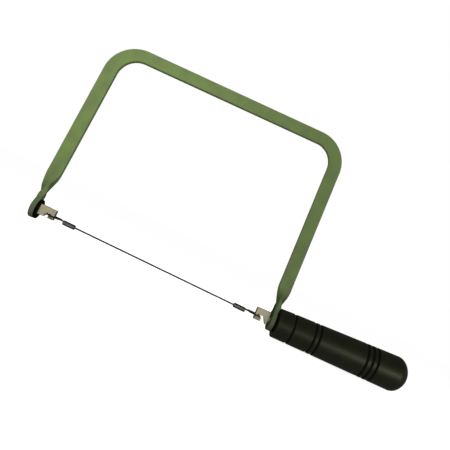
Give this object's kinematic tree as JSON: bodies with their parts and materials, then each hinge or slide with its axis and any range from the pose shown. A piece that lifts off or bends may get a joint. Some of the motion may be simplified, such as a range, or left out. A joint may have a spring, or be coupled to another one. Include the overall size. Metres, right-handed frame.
{
  "type": "coping saw",
  "caption": "Coping saw: deep U-shaped flat-bar frame with twisted legs, spiral wire blade hooked between two zinc hooks, and a straight grooved handle that tensions it.",
  "frame": {"origin": "half way between the seats of the blade's two end rings, at the height of the toe hook's shank", "axes": "+X along the blade from the toe to the handle, +Z from the blade up to the back of the frame, +Y through the thickness"},
  "size_m": [0.2939, 0.0254, 0.1488],
  "materials": {
    "frame_paint": "satin green paint",
    "zinc": "yellowish zinc plate",
    "black_washer": "satin",
    "ring_steel": "bright pressed steel",
    "ferrule_steel": "dark crimped steel",
    "blade_steel": "dark hardened steel",
    "handle_black": "satin gloss",
    "nut_brass": "turned"
  },
  "bodies": {
    "frame": {"frame": "frame_paint", "toe_hook": "zinc", "toe_washer": "black_washer", "rivet_washer": "zinc", "toe_ring": "ring_steel", "toe_ferrule": "ferrule_steel", "blade_wire": "blade_steel", "heel_ferrule": "ferrule_steel", "heel_ring": "ring_steel", "heel_washer": "black_washer"},
    "tension_hook": {"tension_hook": "zinc"},
    "handle": {"handle": "handle_black", "handle_nut": "nut_brass"}
  },
  "joints": [
    {"name": "handle_turn", "type": "hinge", "parent": "frame", "child": "handle", "pos_m": [0.0805, 0, 0], "axis": [0.9992, 0, 0.0401], "range_deg": [0, 720]},
    {"name": "tension_slide", "type": "slide", "parent": "frame", "child": "tension_hook", "axis": [-0.9992, 0, -0.0401], "range_m": [0, 0.0016]}
  ],
  "couplings": [
    {"joint": "tension_slide", "follows": "handle_turn", "m_per_rad": 0.00012732}
  ]
}
